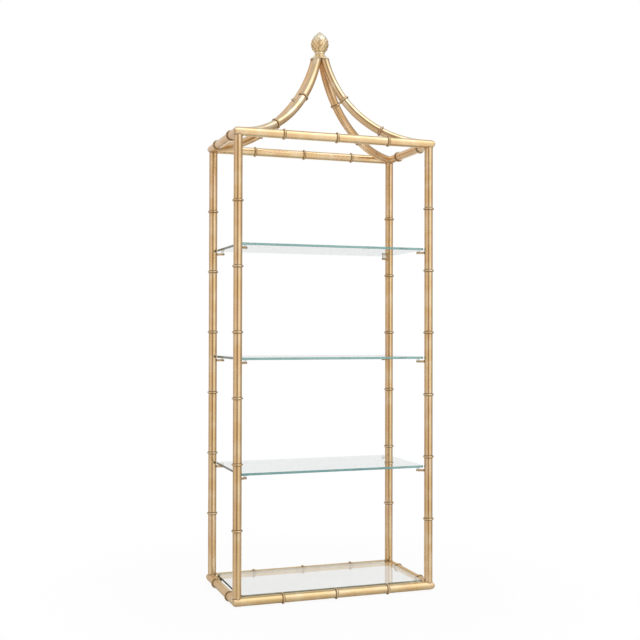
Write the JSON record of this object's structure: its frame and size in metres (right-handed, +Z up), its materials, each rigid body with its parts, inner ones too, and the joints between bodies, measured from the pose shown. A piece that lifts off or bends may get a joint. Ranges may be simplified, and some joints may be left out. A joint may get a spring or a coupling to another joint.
{
  "type": "wall shelf",
  "caption": "Tall open wall shelf: gilded bamboo-style tube frame with a swept pagoda roof and bud finial, carrying loose clear glass shelves on pins.",
  "frame": {"origin": "on the surface that the shelf stands on, under the middle of the frame", "axes": "+Z up, +X to the right seen from the front, -Y to the front, +Y to the wall"},
  "size_m": [0.4736, 0.2546, 1.2729],
  "materials": {
    "gold_frame": "antique gold leaf over iron tube, satin",
    "clear_glass": "clear float glass with polished green edges",
    "clear_bumper": "clear soft vinyl",
    "stud_steel": "plain threaded steel"
  },
  "bodies": {
    "frame": {"top_front_rail": "gold_frame", "top_back_rail": "gold_frame", "top_left_rail": "gold_frame", "top_right_rail": "gold_frame", "top_frame_rings": "gold_frame", "bottom_front_rail": "gold_frame", "bottom_back_rail": "gold_frame", "bottom_left_rail": "gold_frame", "bottom_right_rail": "gold_frame", "bottom_frame_rings": "gold_frame", "front_left_post": "gold_frame", "front_left_post_rings": "gold_frame", "front_left_roof_arm": "gold_frame", "front_right_post": "gold_frame", "front_right_post_rings": "gold_frame", "front_right_roof_arm": "gold_frame", "back_left_post": "gold_frame", "back_left_post_rings": "gold_frame", "back_left_roof_arm": "gold_frame", "back_right_post": "gold_frame", "back_right_post_rings": "gold_frame", "back_right_roof_arm": "gold_frame", "roof_arm_rings": "gold_frame", "roof_cap": "gold_frame", "finial_collar": "gold_frame", "finial_bud": "gold_frame", "lower_shelf_pins": "gold_frame", "middle_shelf_pins": "gold_frame", "upper_shelf_pins": "gold_frame", "base_corner_tabs": "gold_frame", "finial_stud": "stud_steel", "lower_shelf_bumpers": "clear_bumper", "middle_shelf_bumpers": "clear_bumper", "upper_shelf_bumpers": "clear_bumper", "base_panel_pads": "clear_bumper"},
    "lower_shelf": {"lower_glass_shelf": "clear_glass"},
    "middle_shelf": {"middle_glass_shelf": "clear_glass"},
    "upper_shelf": {"upper_glass_shelf": "clear_glass"},
    "base_panel": {"base_glass_panel": "clear_glass"}
  },
  "joints": [
    {"name": "lower_shelf_lift", "type": "slide", "parent": "frame", "child": "lower_shelf", "axis": [0, 0, 1], "range_m": [0, 0.2]},
    {"name": "middle_shelf_lift", "type": "slide", "parent": "frame", "child": "middle_shelf", "axis": [0, 0, 1], "range_m": [0, 0.2]},
    {"name": "upper_shelf_lift", "type": "slide", "parent": "frame", "child": "upper_shelf", "axis": [0, 0, 1], "range_m": [0, 0.2]},
    {"name": "base_panel_lift", "type": "slide", "parent": "frame", "child": "base_panel", "axis": [0, 0, 1], "range_m": [0, 0.2]}
  ]
}
